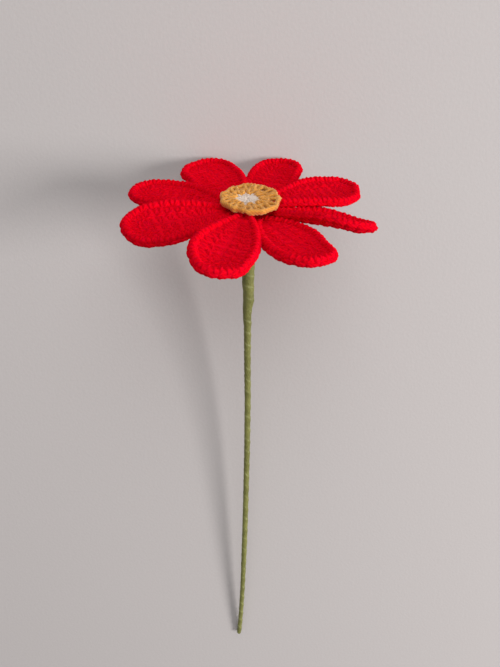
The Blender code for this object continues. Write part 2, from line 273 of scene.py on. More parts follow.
@dataclass(frozen=True)
class YarnFinish:
    """Soft spun yarn, matt, with a bloom of fine fibres and painted shade in the grooves between its plies.
    """

    name: str
    light: tuple[float, float, float]
    dark: tuple[float, float, float]
    bloom: tuple[float, float, float]
    bloom_weight: float = 0.3
    roughness: float = 0.9
    gloss: float = 0.12
    softness: float = 0.0

    def material(self) -> bpy.types.Material:
        """Builds the material."""
        shader = Shader(self.name)
        patches = shader.noise(9.0).clamped(0.3, 0.7)
        slubs = shader.noise(1.3).clamped(0.25, 0.75)
        fibres = shader.noise(0.16, 3.0, 0.6)
        groove_and_painted_shade = shader.value("ShaderNodeAttribute", "Fac", settings={"attribute_name": "groove_and_painted_shade"})
        share = patches * 0.35 + slubs * 0.35 + fibres.clamped(0.3, 0.7) * 0.3
        colour = shader.blend(share, self.dark, self.light)
        # Painted shade: the colour is darkened by 0.3 in the grooves between the plies.
        colour = shader.shade(colour, 1 - groove_and_painted_shade * 0.3)
        shader.bump(fibres + slubs * 0.5, 0.12)
        return shader.dress(
            Base_Color=colour,
            Roughness=self.roughness - fibres * 0.12,
            Sheen_Weight=self.bloom_weight,
            Sheen_Roughness=0.45,
            Sheen_Tint=opaque(self.bloom),
            Specular_IOR_Level=self.gloss,
            Subsurface_Weight=self.softness,
            Subsurface_Radius=self.light,
            Subsurface_Scale=1.2 * MM,
        )


@dataclass(frozen=True)
class TapeFinish:
    """Stretched crepe paper tape, waxy, with creases along it."""

    name: str = "olive_tape"
    light: tuple[float, float, float] = (0.24, 0.24, 0.065)
    dark: tuple[float, float, float] = (0.105, 0.105, 0.02)
    lap_edge_colour: tuple[float, float, float] = (0.38, 0.40, 0.18)

    def material(self) -> bpy.types.Material:
        """Builds the material."""
        shader = Shader(self.name)
        stretched = shader.node(
            "ShaderNodeMapping", {}, {"Vector": shader.spot, "Scale": (1.0, 0.22, 1.0)}
        )
        sockets = {"Vector": stretched.outputs[0], "Scale": 1 / (0.35 * MM), "Detail": 3.0}
        creases = shader.value("ShaderNodeTexNoise", 0, sockets=sockets)
        patches = shader.noise(6.0).clamped(0.3, 0.7)
        lap = shader.value("ShaderNodeAttribute", "Fac", settings={"attribute_name": "lap"})
        share = patches * 0.5 + creases.clamped(0.3, 0.7) * 0.5
        # A paler colour is mixed in along the leading edge of each lap, broken up by noise.
        edges = lap * shader.noise(2.5).clamped(0.4, 0.65)
        shader.bump(creases, 0.14)
        colour = shader.blend(share, self.dark, self.light)
        return shader.dress(
            Base_Color=shader.blend(edges * 0.7, colour, self.lap_edge_colour),
            Roughness=0.62 - creases * 0.12,
            Specular_IOR_Level=0.4,
        )


@dataclass(frozen=True)
class SteelFinish:
    """Drawn florist's wire."""

    name: str = "drawn_steel"
    light: tuple[float, float, float] = (0.62, 0.63, 0.64)
    dark: tuple[float, float, float] = (0.38, 0.38, 0.39)

    def material(self) -> bpy.types.Material:
        """Builds the material."""
        shader = Shader(self.name)
        marks = shader.noise(0.4, 3.0)
        patches = shader.noise(5.0)
        shader.bump(marks, 0.01)
        return shader.dress(
            Base_Color=shader.blend(patches.clamped(0.3, 0.7), self.dark, self.light),
            Roughness=marks * 0.2 + 0.28,
            Metallic=1.0,
        )


@dataclass(frozen=True)
class FloorFinish:
    """Plain pale ground."""

    name: str = "pale_floor"
    colour: tuple[float, float, float] = (0.50, 0.468, 0.465)

    def material(self) -> bpy.types.Material:
        """Builds the material."""
        shader = Shader(self.name)
        nap = shader.noise(1.6, 3.0)
        darker = tuple(part * 0.97 for part in self.colour)
        shader.bump(nap, 0.08)
        colour = shader.blend(nap.clamped(0.3, 0.7), darker, self.colour)
        return shader.dress(Base_Color=colour, Roughness=0.95, Specular_IOR_Level=0.1)


# Yarn


@dataclass(frozen=True)
class Yarn:
    """How thick a yarn is and how its plies are twisted, in mm."""

    radius: float = 1.06
    step: float = 0.6
    turn: float = 7.0
    plies: int = 4
    ply_depth: float = 0.15
    uneven: float = 0.05


class YarnSweep:
    """Geometry Nodes tree that runs a plied yarn along every path of a mesh of lines."""

    def __init__(self) -> None:
        """Builds the tree."""
        self.tree = bpy.data.node_groups.new("plied_yarn", "GeometryNodeTree")
        self.sockets: dict[str, str] = {}
        self._socket("Paths", "NodeSocketGeometry")
        for name in ("Radius", "Step", "Turn", "Ply depth"):
            self._socket(name, "NodeSocketFloat")
        self._socket("Plies", "NodeSocketInt")
        self._socket("Finish", "NodeSocketMaterial")
        self.tree.interface.new_socket("Yarn", in_out="OUTPUT", socket_type="NodeSocketGeometry")
        self._wire()

    def _socket(self, name: str, kind: str) -> None:
        """Adds one named input and remembers its identifier."""
        made = self.tree.interface.new_socket(name, in_out="INPUT", socket_type=kind)
        self.sockets[name] = made.identifier

    def _wire(self) -> None:
        """Adds and links the nodes."""
        graph = Graph(self.tree)
        given = graph.node("NodeGroupInput").outputs
        line = graph.node("GeometryNodeMeshToCurve", {}, {"Mesh": given["Paths"]})
        smooth = graph.node(
            "GeometryNodeCurveSplineType", {"spline_type": "CATMULL_ROM"}, {"Curve": line.outputs[0]}
        )
        even = graph.node(
            "GeometryNodeResampleCurve",
            {"mode": "LENGTH"},
            {"Curve": smooth.outputs[0], "Length": given["Step"]},
        )
        length = graph.value("GeometryNodeSplineParameter", "Length")
        twist = length * math.tau / Value(graph, given["Turn"])
        turned = graph.node(
            "GeometryNodeSetCurveTilt", {}, {"Curve": even.outputs[0], "Tilt": twist}
        )
        sides = Value(graph, given["Plies"]) * 2
        ring = graph.node(
            "GeometryNodeCurvePrimitiveCircle", {}, {"Resolution": sides, "Radius": given["Radius"]}
        )
        groove_and_painted_shade = graph.value("GeometryNodeInputIndex", 0) % 2
        shrink = 1 - groove_and_painted_shade * Value(graph, given["Ply depth"])
        where = graph.node("GeometryNodeInputPosition").outputs[0]
        pulled = graph.node(
            "ShaderNodeVectorMath", {"operation": "SCALE"}, {0: where, "Scale": shrink}
        )
        # The grooves are also stored so the yarn's material can paint shade between the plies.
        marked = graph.node(
            "GeometryNodeStoreNamedAttribute",
            {"data_type": "FLOAT", "domain": "POINT"},
            {"Geometry": ring.outputs[0], "Name": "groove_and_painted_shade", "Value": groove_and_painted_shade},
        )
        plied = graph.node(
            "GeometryNodeSetPosition", {}, {"Geometry": marked.outputs[0], "Position": pulled.outputs[0]}
        )
        thick = graph.node(
            "GeometryNodeInputNamedAttribute", {"data_type": "FLOAT"}, {"Name": "thickness"}
        )
        tube = graph.node(
            "GeometryNodeCurveToMesh",
            {},
            {
                "Curve": turned.outputs[0],
                "Profile Curve": plied.outputs[0],
                "Scale": thick.outputs[0],
                "Fill Caps": True,
            },
        )
        soft = graph.node("GeometryNodeSetShadeSmooth", {}, {"Geometry": tube.outputs[0]})
        real = graph.node("GeometryNodeRealizeInstances", {}, {"Geometry": soft.outputs[0]})
        dressed = graph.node(
            "GeometryNodeSetMaterial", {}, {"Geometry": real.outputs[0], "Material": given["Finish"]}
        )
        graph.node("NodeGroupOutput", {}, {0: dressed.outputs[0]})

    def mesh(
        self, name: str, paths: Sequence[Path], yarn: Yarn, finish: bpy.types.Material
    ) -> bpy.types.Mesh:
        """Runs the yarn along the paths.

        Args:
            name: The new mesh's name.
            paths: Open paths of points in metres.
            yarn: The yarn's sizes.
            finish: Its material.

        Returns:
            The yarn as one plain mesh.
        """
        points = [point for path in paths for point in path]
        edges = []
        start = 0
        for path in paths:
            edges += [(i, i + 1) for i in range(start, start + len(path) - 1)]
            start += len(path)
        lines = bpy.data.meshes.new(f"{name}_paths")
        lines.from_pydata(points, edges, [])
        thickness = lines.attributes.new("thickness", "FLOAT", "POINT")
        random = np.random.default_rng(SEED + len(points))
        loose = 1 + yarn.uneven * random.standard_normal(len(points))
        thickness.data.foreach_set("value", loose.astype(np.float32))
        holder = bpy.data.objects.new(f"{name}_paths", lines)
        bpy.context.scene.collection.objects.link(holder)
        modifier = holder.modifiers.new("yarn", "NODES")
        modifier.node_group = self.tree
        sizes = {
            "Radius": yarn.radius * MM,
            "Step": yarn.step * MM,
            "Turn": yarn.turn * MM,
            "Ply depth": yarn.ply_depth,
            "Plies": yarn.plies,
            "Finish": finish,
        }
        for key, size in sizes.items():
            modifier[self.sockets[key]] = size
        graph = bpy.context.evaluated_depsgraph_get()
        mesh = bpy.data.meshes.new_from_object(holder.evaluated_get(graph))
        holder.modifiers.remove(modifier)
        bpy.data.objects.remove(holder, do_unlink=True)
        bpy.data.meshes.remove(lines)
        mesh.name = name
        return mesh


# Stitches: each row is how far along the round in stitches, the share of the stitch's height,
# millimetres beyond that, and millimetres in front of the fabric's middle. In a wired stitch the
# share is of a full turn round the wire, from the side towards the petal's middle over the front,
# and the millimetres beyond are outward from the wire; its last number isn't used.


class Stitch(Enum):
    """The yarn's path through one stitch."""

    SINGLE = (
        (-0.50, 0.5, 0.0, -0.95),
        (-0.12, 0.0, 0.10, -0.80),
        (-0.08, 0.0, -0.60, -0.10),
        (-0.12, 0.0, -0.40, 0.40),
        (-0.20, 0.3, 0.0, 0.72),
        (-0.25, 0.7, 0.0, 0.72),
        (-0.15, 1.0, -0.10, 0.40),
        (0.02, 1.0, 0.05, 0.10),
        (0.19, 1.0, -0.10, 0.42),
        (0.26, 0.7, 0.0, 0.74),
        (0.21, 0.3, 0.0, 0.72),
        (0.11, 0.0, -0.40, 0.38),
        (0.07, 0.0, -0.60, -0.10),
        (0.11, 0.0, 0.15, -0.80),
        (0.13, 0.5, 0.0, -1.00),
        (0.06, 1.0, -0.30, -0.55),
        (-0.02, 1.0, 0.00, 0.05),
        (0.22, 1.0, 0.42, 0.40),
        (0.56, 1.0, 0.60, 0.42),
        (0.90, 1.0, 0.36, 0.20),
        (1.02, 1.0, 0.10, -0.10),
        (0.84, 1.0, 0.24, -0.46),
        (0.50, 1.0, 0.36, -0.66),
        (0.20, 1.0, 0.10, -0.76),
        (0.02, 1.0, -0.30, -0.84),
    )
    DOUBLE = (
        (-0.54, 0.76, 0.0, -0.76),
        (-0.30, 0.54, 0.0, -0.50),
        (-0.44, 0.36, 0.0, 0.15),
        (-0.20, 0.41, 0.0, 0.74),
        (0.16, 0.55, 0.0, 0.78),
        (0.40, 0.60, 0.0, 0.15),
        (0.22, 0.44, 0.0, -0.70),
        (0.02, 0.14, 0.0, -0.80),
        (-0.05, 0.0, -0.25, -0.30),
        (-0.12, 0.0, 0.10, 0.36),
        (-0.20, 0.18, 0.0, 0.56),
        (-0.13, 0.36, 0.0, 0.30),
        (0.02, 0.45, 0.0, 0.02),
        (0.16, 0.34, 0.0, 0.30),
        (0.20, 0.16, 0.0, 0.56),
        (0.11, 0.0, 0.0, 0.34),
        (0.05, 0.0, -0.25, -0.25),
        (0.07, 0.18, 0.0, -0.82),
        (0.10, 0.40, 0.0, -0.66),
        (-0.08, 0.52, 0.0, 0.05),
        (-0.21, 0.68, 0.0, 0.56),
        (-0.25, 0.86, 0.0, 0.54),
        (-0.13, 1.0, -0.10, 0.26),
        (0.03, 1.0, 0.05, 0.0),
        (0.19, 1.0, -0.10, 0.26),
        (0.27, 0.84, 0.0, 0.56),
        (0.23, 0.66, 0.0, 0.56),
        (0.12, 0.50, 0.0, 0.0),
        (0.14, 0.70, 0.0, -0.80),
        (0.06, 1.0, -0.40, -0.52),
        (-0.02, 1.0, 0.00, 0.05),
        (0.22, 1.0, 0.40, 0.36),
        (0.56, 1.0, 0.58, 0.40),
        (0.90, 1.0, 0.36, 0.20),
        (1.02, 1.0, 0.10, -0.10),
        (0.84, 1.0, 0.24, -0.46),
        (0.50, 1.0, 0.36, -0.66),
        (0.20, 1.0, 0.10, -0.76),
        (0.02, 1.0, -0.25, -0.80),
    )
    WIRED = (
        (-0.50, -0.22, 0.00, 0.0),
        (-0.16, -0.08, 0.00, 0.0),
        (-0.11, 0.01, 0.10, 0.0),
        (-0.18, 0.11, 0.02, 0.0),
        (-0.25, 0.23, 0.00, 0.0),
        (-0.27, 0.35, -0.04, 0.0),
        (-0.25, 0.46, -0.12, 0.0),
        (-0.12, 0.55, 0.00, 0.0),
        (0.08, 0.55, 0.00, 0.0),
        (0.23, 0.46, -0.12, 0.0),
        (0.26, 0.35, -0.04, 0.0),
        (0.24, 0.23, 0.00, 0.0),
        (0.18, 0.11, 0.02, 0.0),
        (0.11, 0.01, 0.10, 0.0),
        (0.12, -0.10, 0.00, 0.0),
        (0.14, -0.24, 0.10, 0.0),
        (0.08, -0.36, 0.10, 0.0),
        (-0.02, -0.42, 0.25, 0.0),
        (0.22, -0.41, 0.62, 0.0),
        (0.56, -0.40, 0.72, 0.0),
        (0.90, -0.39, 0.50, 0.0),
        (1.02, -0.34, 0.35, 0.0),
        (0.84, -0.30, 0.60, 0.0),
        (0.50, -0.28, 0.72, 0.0),
        (0.20, -0.29, 0.55, 0.0),
        (0.02, -0.33, 0.25, 0.0),
    )


@dataclass
class Round:
    """One round of stitches on some surface."""

    count: int
    place: Place
    kinds: Callable[[int], Stitch]
    wobble: float = 0.05

    def path(self, random: np.random.Generator) -> Path:
        """The yarn's path through every stitch of the round.

        Args:
            random: Draws the unevenness of the hand.

        Returns:
            Points in metres.
        """
        path = []
        for i in range(self.count):
            sway = random.normal(0, self.wobble)
            for along, share, beyond, front in self.kinds(i).value:
                jitter = random.normal(0, self.wobble, 2)
                spot = (i + 0.5 + along + sway * 0.6, share, beyond + jitter[0], front + jitter[1])
                path.append(self.place(*spot))
        return path


# The flower


@dataclass(frozen=True)
class Head:
    """How the flower's frame lies on the ground, in mm and degrees."""

    height: float = 46.2
    nod: float = 25.0
    place: tuple[float, float] = (0.883, 132.295)

    @property
    def origin(self) -> Vector:
        """The flower's origin, in mm."""
        return Vector((*self.place, self.height))

    def turned(self, point: Vector) -> Vector:
        """A point of the flower's frame as an offset in the world's directions, in mm."""
        nod = math.radians(self.nod)
        axis = Vector((0, math.cos(nod), math.sin(nod)))
        away = Vector((0, math.sin(nod), -math.cos(nod)))
        return Vector((1, 0, 0)) * point[0] + away * point[1] + axis * point[2]

    def to_world(self, point: Vector) -> Vector:
        """The world point, in metres, of a point of the flower's frame."""
        return (self.turned(point) + self.origin) * MM


HEAD = Head()


@dataclass(frozen=True)
class PetalShape:
    """One petal's place and bend: mm and degrees, in the flower's frame."""

    azimuth: float
    lift: float
    roll: float
    curl: float
    width: float
    reach: float
    cup: float
    side: float
    widest: float
    root_roll: float
    root_height: float
    root_radius: float = 7.0
    root_share: float = 0.22
    rise_power: float = 1.75
    tip_power: float = 2.5
    spine_start: float = 3.2
    spine_end_share: float = 0.42
    trim: tuple[float, ...] = (0.0, 0.0)
    raised: tuple[float, ...] = (0.0, 0.0)

    @property
    def length(self) -> float:
        """Length from root to tip."""
        return self.reach - self.root_radius

    @property
    def spine_end(self) -> float:
        """Where the middle chain ends, from the root."""
        return self.length - self.width * self.spine_end_share

    def half_width(self, along: float) -> float:
        """Half the flat width at a share of the length."""
        rise = 1 - (1 - min(along / self.widest, 1.0)) ** self.rise_power
        past = min(max((along - self.widest) / (1 - self.widest), 0.0), 1.0)
        share = self.root_share + (1 - self.root_share) * rise
        return self.width / 2 * share * math.sqrt(max(1 - past**self.tip_power, 0.0))

    def point(self, x: float, y: float, raised: float, spread: float) -> Vector:
        """World point of the bent petal.

        Args:
            x: Distance from the root along the flat petal.
            y: Distance across it.
            raised: Height off its middle surface.
            spread: How far out from the middle line, 0 to 1, for the cupping.

        Returns:
            The point in metres.
        """
        azimuth = math.radians(self.azimuth)
        outward = Vector((math.cos(azimuth), math.sin(azimuth), 0))
        around = Vector((-math.sin(azimuth), math.cos(azimuth), 0))
        up = Vector((0, 0, 1))
        lift = math.radians(self.lift)
        bend = math.radians(self.curl) / self.length
        if abs(bend) < 1e-6:
            bend = 1e-6
        slope = lift + bend * x
        out = (math.sin(slope) - math.sin(lift)) / bend
        rise = (math.cos(lift) - math.cos(slope)) / bend
        share = x / self.length
        turned = min(max(share * 1.6, 0.0), 1.0)
        tilt = math.radians(self.root_roll + (self.roll - self.root_roll) * turned)
        normal = up * math.cos(slope) - outward * math.sin(slope)
        across = around * math.cos(tilt) + normal * math.sin(tilt)
        face = normal * math.cos(tilt) - around * math.sin(tilt)
        cupped = self.cup * self.width / 2 * spread**2 * min(max(share * 2, 0.0), 1.0)
        sideways = self.side * share * share
        middle = outward * (self.root_radius + out) + up * (self.root_height + rise)
        return HEAD.to_world(middle + around * sideways + across * y + face * (raised + cupped))


def between(values: Sequence[float], shares: np.ndarray) -> np.ndarray:
    """Smooth curve through evenly spaced values.

    Args:
        values: The values, from share 0 to share 1.
        shares: Where the curve is wanted.

    Returns:
        Its value at each share.
    """
    known = np.array([values[0], *values, values[-1]])
    spots = np.clip(shares, 0, 1) * (len(values) - 1)
    first = np.minimum(spots.astype(int), len(values) - 2)
    t = spots - first
    a, b, c, d = (known[first + i] for i in range(4))
    bend = (2 * a - 5 * b + 4 * c - d) * t**2 + (3 * b - a - 3 * c + d) * t**3
    return b + ((c - a) * t + bend) / 2


class Walk:
    """A walk round a petal's outline from one root corner past the tip to the other.

    Distances in from the edge run towards the middle chain, and shrink where the petal is too
    narrow for them.
    """

    STEPS = 90
    NARROW = 4.6

    def __init__(self, shape: PetalShape, inset: float) -> None:
        """Measures the outline.

        Args:
            shape: The petal.
            inset: The distance in from the edge at which the walk's length is measured.
        """
        self.shape = shape
        shares = [math.sin(math.pi / 2 * i / self.STEPS) for i in range(self.STEPS)]
        side = [(share * shape.length, shape.half_width(share)) for share in shares]
        plain = np.array([*side, (shape.length, 0.0), *[(x, -y) for x, y in reversed(side)]])
        steps = np.hypot(*np.diff(plain, axis=0).T)
        shares = np.concatenate([[0.0], np.cumsum(steps)]) / steps.sum()
        spine_x = np.clip(plain[:, 0], shape.spine_start, shape.spine_end)
        self.spine = np.column_stack([spine_x, np.zeros(len(spine_x))])
        outward = plain - self.spine
        outward /= np.hypot(*outward.T)[:, None]
        self.edge = plain + outward * between(shape.trim, shares)[:, None]
        self.raised = between(shape.raised, shares)
        line = self.spine + (self.edge - self.spine) * self.spreads(inset)[:, None]
        steps = np.hypot(*np.diff(line, axis=0).T)
        self.lengths = np.concatenate([[0.0], np.cumsum(steps)])

    def spreads(self, inset: float) -> np.ndarray:
        """The share of the way out from the spine at an inset, for every outline point."""
        full = np.hypot(*(self.edge - self.spine).T)
        return 1 - inset * np.minimum(1.0, full / self.NARROW) / full

    @property
    def length(self) -> float:
        """The walk's whole length in mm."""
        return float(self.lengths[-1])

    def full(self, where: float) -> float:
        """The distance from edge to spine at a place along the walk."""
        edge, spine = self.pair(where)
        return float(np.hypot(*(edge - spine)))

    def pair(self, where: float) -> tuple[np.ndarray, np.ndarray]:
        """Edge and spine point at a distance along the walk."""
        edge = [np.interp(where, self.lengths, self.edge[:, i]) for i in range(2)]
        spine = [np.interp(where, self.lengths, self.spine[:, i]) for i in range(2)]
        return np.array(edge), np.array(spine)

    def point(self, where: float, inset: float, front: float) -> Vector:
        """World point on the petal.

        Args:
            where: Distance along the walk.
            inset: Distance in from the edge, in mm.
            front: Height off the petal's middle, in mm.

        Returns:
            The point in metres.
        """
        edge, spine = self.pair(where)
        full = float(np.hypot(*(edge - spine)))
        spread = 1 - inset / full
        x, y = spine + (edge - spine) * spread
        front += float(np.interp(where, self.lengths, self.raised)) * max(spread, 0.0) ** 2
        return self.shape.point(float(x), float(y), front, spread)

    def scale(self, where: float) -> float:
        """How much a distance from the edge shrinks where the petal is narrow."""
        return min(1.0, self.full(where) / self.NARROW)


@dataclass
class Petal:
    """One crocheted petal: a middle chain, a round of tall stitches, and the rim."""

    number: int
    shape: PetalShape
    yarn: Yarn = field(default_factory=Yarn)
    pitch: float = 4.4
    rim_depth: float = 4.3
    roll_inset: float = 2.2
    roll_radius: float = 1.0
    roll_front: float = 0.35
    recess: float = 0.35
    spine_gap: float = 1.1
    tall_from: float = 5.0
    least_height: float = 1.6
    gather_to: float = -3.4
    gather_front: float = 0.8

    def rim(self) -> Round:
        """The last round, worked over the wire."""
        walk = Walk(self.shape, 2.0)
        count = round(walk.length / self.pitch)

        def place(along: float, turn: float, beyond: float, front: float) -> Vector:
            where = min(max(along / count, 0.0), 1.0) * walk.length
            radius = self.roll_radius + beyond
            inset = self.roll_inset + radius * math.cos(math.tau * turn)
            front = self.roll_front + radius * math.sin(math.tau * turn)
            return walk.point(where, inset * walk.scale(where), front)

        return Round(count, place, lambda i: Stitch.WIRED)

    def body(self) -> Round:
        """The round of stitches between the middle chain and the rim."""
        walk = Walk(self.shape, self.rim_depth)
        spots = np.linspace(0, walk.length, 400)
        tall = [s for s in spots if self.height(walk, s) > self.least_height]
        start, end = tall[0], tall[-1]
        count = round((end - start) / self.pitch)
        pitch = (end - start) / count

        def place(along: float, share: float, beyond: float, front: float) -> Vector:
            where = min(max(start + along * pitch, 0.0), walk.length)
            height = self.height(walk, where)
            base = walk.full(where) - self.spine_gap
            return walk.point(where, base - height * share - beyond, front - self.recess)

        def kind(i: int) -> Stitch:
            height = self.height(walk, start + (i + 0.5) * pitch)
            return Stitch.DOUBLE if height > self.tall_from else Stitch.SINGLE

        return Round(count, place, kind)

    def height(self, walk: Walk, where: float) -> float:
        """How tall a stitch of the body is at a place along the walk."""
        top = self.rim_depth * walk.scale(where)
        return walk.full(where) - self.spine_gap - top

    def chain(self) -> Path:
        """The chain along the petal's middle."""
        start, end = 1.0, self.shape.spine_end
        count = round((end - start) / self.pitch)
        pitch = (end - start) / count
        path = []
        for i in range(count):
            for along, across, front in CHAIN_LINK:
                x = start + (i + along) * pitch
                path.append(self.shape.point(x, across, front - self.recess, 0.0))
        return path

    def gathered(self) -> Iterator[Path]:
        """The strands that draw the root in under the amber ring."""
        for side in (-1, 0, 1):
            path = []
            for x in np.linspace(self.gather_to, 2.5, 7):
                across = side * (0.9 + 1.5 * (x - self.gather_to) / (2.5 - self.gather_to))
                path.append(self.shape.point(float(x), across, self.gather_front, 0.0))
            yield path

    def core(self, mesh: bmesh.types.BMesh) -> None:
        """Adds the fabric's middle, where the strands cross: a slab inside a rolled rim."""
        walk = Walk(self.shape, CORE_FACE[0][0])
        edge = self._core_ring(mesh, walk, *CORE_FACE[0])
        for section in (CORE_FACE[1:], CORE_BACK):
            last = edge
            for spot in section:
                ring = self._core_ring(mesh, walk, *spot)
                join_rings(mesh, last, ring)
                last = ring
        bmesh.ops.remove_doubles(mesh, verts=mesh.verts, dist=0.002 * MM)

    def _core_ring(
        self, mesh: bmesh.types.BMesh, walk: Walk, inset: float, share: float, front: float
    ) -> list[bmesh.types.BMVert]:
        """One closed ring of the core's points.

        Args:
            mesh: Where they are added.
            walk: The petal's outline.
            inset: Distance in from the edge, in mm.
            share: How much of the rest of the way to the middle line is added.
            front: Height off the petal's middle, in mm.

        Returns:
            The points.
        """
        ring = []
        for where in walk.lengths[::2]:
            full = walk.full(where)
            deep = inset * walk.scale(where)
            ring.append(mesh.verts.new(walk.point(where, deep + (full - deep) * share, front)))
        return ring

    def build(self, sweep: YarnSweep, finish: bpy.types.Material) -> bpy.types.Object:
        """Builds the petal.

        Args:
            sweep: The yarn's tree.
            finish: The yarn's material.

        Returns:
            The finished piece.
        """
        random = np.random.default_rng(SEED + self.number)
        paths = [self.rim().path(random), self.body().path(random), self.chain()]
        paths += self.gathered()
        mesh = sweep.mesh(f"petal_{self.number}_yarn", paths, self.yarn, finish)
        add_core(mesh, self.core)
        return piece(f"crocheted_petal_{self.number}", mesh, "red_yarn", f"petal_{self.number}")


# The core's section: distance in from the petal's edge in mm, the share added of the rest of the
# way to its middle line, and the height off the petal's middle in mm

CORE_FACE = (
    (0.62, 0.0, 0.35),
    (1.0, 0.0, 1.35),
    (2.2, 0.0, 1.85),
    (3.1, 0.0, 1.35),
    (3.6, 0.0, 0.6),
    (4.5, 0.0, 0.7),
    (4.5, 0.5, 0.7),
    (4.5, 1.0, 0.7),
)
CORE_BACK = (
    (1.0, 0.0, -0.65),
    (2.2, 0.0, -1.15),
    (3.2, 0.0, -1.0),
    (4.5, 0.0, -1.15),
    (4.5, 0.5, -1.15),
    (4.5, 1.0, -1.15),
)

CHAIN_LINK = (
    (0.00, 0.00, -0.20),
    (0.22, 0.50, 0.20),
    (0.60, 0.80, 0.36),
    (0.96, 0.40, 0.20),
    (1.06, 0.00, -0.10),
    (0.90, -0.45, 0.15),
    (0.55, -0.80, 0.34),
    (0.20, -0.50, 0.10),
    (0.10, -0.10, -0.55),
    (0.55, 0.05, -0.80),
)


def join_rings(
    mesh: bmesh.types.BMesh,
    first: Sequence[bmesh.types.BMVert],
    second: Sequence[bmesh.types.BMVert],
) -> None:
    """Adds a strip of quads between two rings of points.

    Args:
        mesh: Where they are.
        first: One ring.
        second: The other, as long.
    """
    count = len(first)
    for i in range(count):
        j = (i + 1) % count
        mesh.faces.new((first[i], first[j], second[j], second[i]))


def add_core(mesh: bpy.types.Mesh, build: Callable[[bmesh.types.BMesh], None]) -> None:
    """Adds a closed body to a mesh of yarn.

    Args:
        mesh: The yarn.
        build: Adds the body to an empty mesh.
    """
    core = bmesh.new()
    build(core)
    bmesh.ops.recalc_face_normals(core, faces=core.faces)
    if core.calc_volume(signed=True) < 0:
        bmesh.ops.reverse_faces(core, faces=core.faces)
    for face in core.faces:
        face.smooth = True
    alone = bpy.data.meshes.new("core")
    core.to_mesh(alone)
    core.free()
    both = bmesh.new()
    both.from_mesh(mesh)
    both.from_mesh(alone)
    both.to_mesh(mesh)
    both.free()
    bpy.data.meshes.remove(alone)


def piece(name: str, mesh: bpy.types.Mesh, slot: str, *nodes: str) -> bpy.types.Object:
    """Makes a mesh a piece of the object.

    Args:
        name: The piece's name.
        mesh: Its mesh, in place.
        slot: The record's material slot; not used.
        nodes: The CAD nodes that it stands for.

    Returns:
        The piece.
    """
    mesh.name = name
    obj = bpy.data.objects.new(name, mesh)
    bpy.context.scene.collection.objects.link(obj)
    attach(obj, BODY)
    if nodes:
        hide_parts(*nodes)
    log.info("%s: %d faces", name, len(mesh.polygons))
    return obj


PETALS = {
    1: PetalShape(
        254.8, 2.9, -6.6, -0.4, 26.4, 54.4, 0.14, 0.6, 0.61, 0.6, 1.7,
        trim=(
            0.0, 0.0, 0.0, -0.2, -0.3, -0.4, -0.6, -0.5, 0.8, 0.7, 1.1,
            1.1, 0.3, 0.4, 0.7, 0.6, 0.4, 0.3, 0.2, 0.0, 0.0,
        ),
    ),
    2: PetalShape(
        202.3, 3.7, -8.0, -4.9, 25.4, 54.7, 0.12, 0.2, 0.62, -11.6, 0.9,
        trim=(
            0.0, 0.0, 0.0, 0.0, -0.3, 0.2, 0.9, 0.8, 1.3, 0.8, 0.6,
            1.1, 0.6, 0.8, 0.7, 0.4, 0.1, 0.0, -0.1, 0.0, 0.0,
        ),
    ),
    3: PetalShape(
        165.5, 1.6, 2.1, 4.7, 24.2, 54.4, 0.08, -0.3, 0.61, -18.0, -0.6,
        trim=(
            0.0, 0.0, 0.0, 0.0, 0.0, -0.3, -0.8, -0.6, 0.7, 1.3, 0.7,
            0.4, 0.9, 1.2, 2.0, 2.2, 1.8, 1.2, 0.8, 0.4, 0.0,
        ),
    ),
    4: PetalShape(
        117.1, 2.5, 1.4, -2.6, 26.2, 56.6, 0.07, 0.0, 0.57, -10.1, -1.4,
        trim=(
            0.0, 0.0, 0.0, 0.0, 0.1, 0.6, 1.4, 2.4, 0.6, -1.6, -1.7,
            -0.9, 0.1, 0.7, 0.6, 0.4, 0.2, -0.1, 0.0, 0.0, 0.0,
        ),
    ),
    5: PetalShape(
        71.5, 2.2, 0.2, 3.6, 25.8, 52.7, 0.09, 0.2, 0.6, -3.2, -3.9,
        trim=(
            0.0, 0.0, 0.0, 0.0, 0.0, 0.2, 0.5, 0.7, 0.9, 0.4, 0.7,
            1.9, 1.7, -0.5, -1.4, -1.2, -0.6, -0.3, 0.0, 0.0, 0.0,
        ),
    ),
    6: PetalShape(
        24.8, 0.2, -0.8, -9.4, 25.1, 54.5, 0.09, 0.1, 0.64, -3.4, 1.9,
        trim=(
            0.0, 0.0, 0.3, 0.6, 0.8, 0.9, 0.6, 0.1, 1.3, 1.2, 1.0,
            -0.5, 0.1, 0.5, 1.4, 0.2, -0.8, -1.2, -1.2, -0.8, -0.4,
        ),
    ),
    7: PetalShape(
        346.1, -1.9, -28.3, -0.2, 22.9, 53.3, 0.23, -2.5, 0.59, -20.0, 0.8,
        trim=(
            -0.4, -0.6, -0.6, -0.3, 0.0, 0.0, 0.0, 0.0, 0.3, 0.3, 0.5,
            0.3, 0.0, 0.0, 0.0, -0.2, -0.8, -1.2, -1.2, -0.8, -0.3,
        ),
        raised=(
            -0.2, -0.1, 0.5, 1.2, 1.7, 1.9, 1.5, 0.6, 0.0, 0.0, -0.4,
            -0.8, -1.2, -1.2, -0.8, -0.4, 0.0, 0.0, 0.0, 0.0, 0.0,
        ),
    ),
    8: PetalShape(
        302.7, 2.2, -7.7, 5.3, 25.1, 50.8, 0.02, -1.2, 0.51, 4.6, -0.8,
        trim=(
            -0.2, 0.0, 0.6, 1.1, 1.4, 1.6, 1.0, 0.8, 2.0, 1.1, -0.2,
            0.2, 0.3, 0.9, 0.9, 0.3, -0.5, -0.7, -0.5, -0.2, -0.2,
        ),
    ),
}


